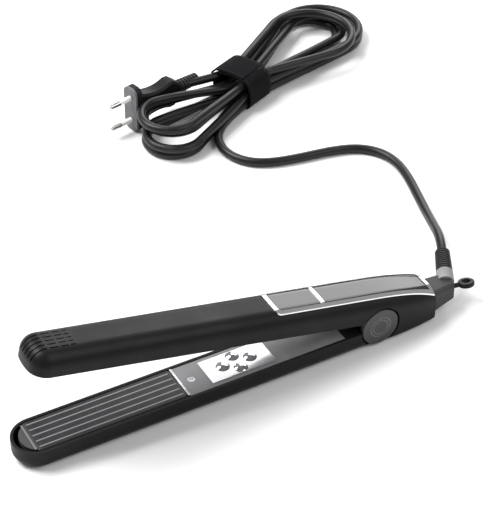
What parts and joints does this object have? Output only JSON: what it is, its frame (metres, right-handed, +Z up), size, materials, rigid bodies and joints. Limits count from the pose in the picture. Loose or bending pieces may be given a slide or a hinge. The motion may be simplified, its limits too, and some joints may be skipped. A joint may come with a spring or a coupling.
{
  "type": "flat iron",
  "caption": "Black hair straightener lying open, with striped heater plates, bright-framed gloss panels, swivel lead and a strapped hank with a round-pin plug.",
  "frame": {"origin": "under the middle of the iron, on the surface it lies on", "axes": "+X from the tips to the tail, +Y across the arms towards the hank, +Z up from the surface"},
  "size_m": [0.4314, 0.3753, 0.0823],
  "materials": {
    "soft_black": "soft-touch",
    "dark_insert": "satin",
    "bright_trim": "bright",
    "gloss_panel": "polished",
    "plate_coating": "smooth coated",
    "stripe_metal": "brushed",
    "heater_ceramic": "fired",
    "silicone": "matt",
    "satin_grey": "satin",
    "screw_steel": "plain",
    "mirror_panel": "polished",
    "button_chrome": "bright",
    "circuit_board": "lacquered",
    "cap_grey": "satin",
    "swivel_grey": "satin",
    "collar_grey": "satin",
    "cord_rubber": "satin",
    "strap_fabric": "woven",
    "plug_black": "fine texture",
    "plug_grey": "satin",
    "pin_metal": "turned",
    "sleeve_white": "moulded"
  },
  "bodies": {
    "upper_housing": {"upper_shell": "soft_black", "chrome_frame": "bright_trim", "front_gloss_panel": "gloss_panel", "rear_gloss_panel": "gloss_panel", "upper_inner_cover": "satin_grey", "upper_tip_insert": "dark_insert", "upper_front_bar": "bright_trim", "upper_rear_trim": "bright_trim", "upper_cushions": "silicone", "hinge_pin": "screw_steel", "near_hinge_cap": "cap_grey", "far_hinge_cap": "cap_grey", "mains_cord": "cord_rubber", "cord_hank": "cord_rubber", "hank_strap": "strap_fabric", "plug_body": "plug_black", "plug_face": "plug_grey", "plug_pins": "pin_metal", "plug_pin_sleeves": "sleeve_white", "plug_relief": "cord_rubber"},
    "lower_arm": {"lower_shell": "soft_black", "lower_tip_insert": "dark_insert", "lower_front_bar": "bright_trim", "lower_rear_trim": "bright_trim", "lower_inner_cover": "satin_grey", "cover_screw": "screw_steel", "button_panel": "mirror_panel", "button_board": "circuit_board", "lower_cushions": "silicone", "hinge_spring": "screw_steel"},
    "lower_plate": {"lower_plate": "plate_coating", "lower_plate_stripes": "stripe_metal", "lower_heater": "heater_ceramic"},
    "upper_plate": {"upper_plate": "plate_coating", "upper_plate_stripes": "stripe_metal", "upper_heater": "heater_ceramic"},
    "front_button": {"front_button": "button_chrome"},
    "rear_button": {"rear_button": "button_chrome"},
    "near_button": {"near_button": "button_chrome"},
    "far_button": {"far_button": "button_chrome"},
    "cord_swivel": {"swivel_block": "swivel_grey", "swivel_clip": "screw_steel", "relief_collar": "collar_grey", "strain_relief": "cord_rubber", "hang_loop": "soft_black"}
  },
  "joints": [
    {"name": "arm_hinge", "type": "hinge", "parent": "upper_housing", "child": "lower_arm", "pos_m": [0.08165, 0, 0.0144], "axis": [0, 1, 0], "range_deg": [0, 13.4], "stiffness_Nm_per_rad": 0.9, "springref_deg": -28.65},
    {"name": "upper_plate_float", "type": "slide", "parent": "upper_housing", "child": "upper_plate", "axis": [0.2317, 0, 0.9728], "range_m": [0, 0.001], "stiffness_N_per_m": 2000, "springref_m": -0.002, "deforming": ["upper_cushions"]},
    {"name": "lower_plate_float", "type": "slide", "parent": "lower_arm", "child": "lower_plate", "axis": [0, 0, -1], "range_m": [0, 0.001], "stiffness_N_per_m": 2000, "springref_m": -0.002, "deforming": ["lower_cushions"]},
    {"name": "front_button_press", "type": "slide", "parent": "lower_arm", "child": "front_button", "axis": [0, 0, -1], "range_m": [0, 0.0005], "stiffness_N_per_m": 1500, "springref_m": -0.0007},
    {"name": "rear_button_press", "type": "slide", "parent": "lower_arm", "child": "rear_button", "axis": [0, 0, -1], "range_m": [0, 0.0005], "stiffness_N_per_m": 1500, "springref_m": -0.0007},
    {"name": "near_button_press", "type": "slide", "parent": "lower_arm", "child": "near_button", "axis": [0, 0, -1], "range_m": [0, 0.0005], "stiffness_N_per_m": 1500, "springref_m": -0.0007},
    {"name": "far_button_press", "type": "slide", "parent": "lower_arm", "child": "far_button", "axis": [0, 0, -1], "range_m": [0, 0.0005], "stiffness_N_per_m": 1500, "springref_m": -0.0007},
    {"name": "cord_swivel", "type": "hinge", "parent": "upper_housing", "child": "cord_swivel", "pos_m": [0.12515, 0, 0.0122], "axis": [1, 0, 0], "continuous": true}
  ]
}
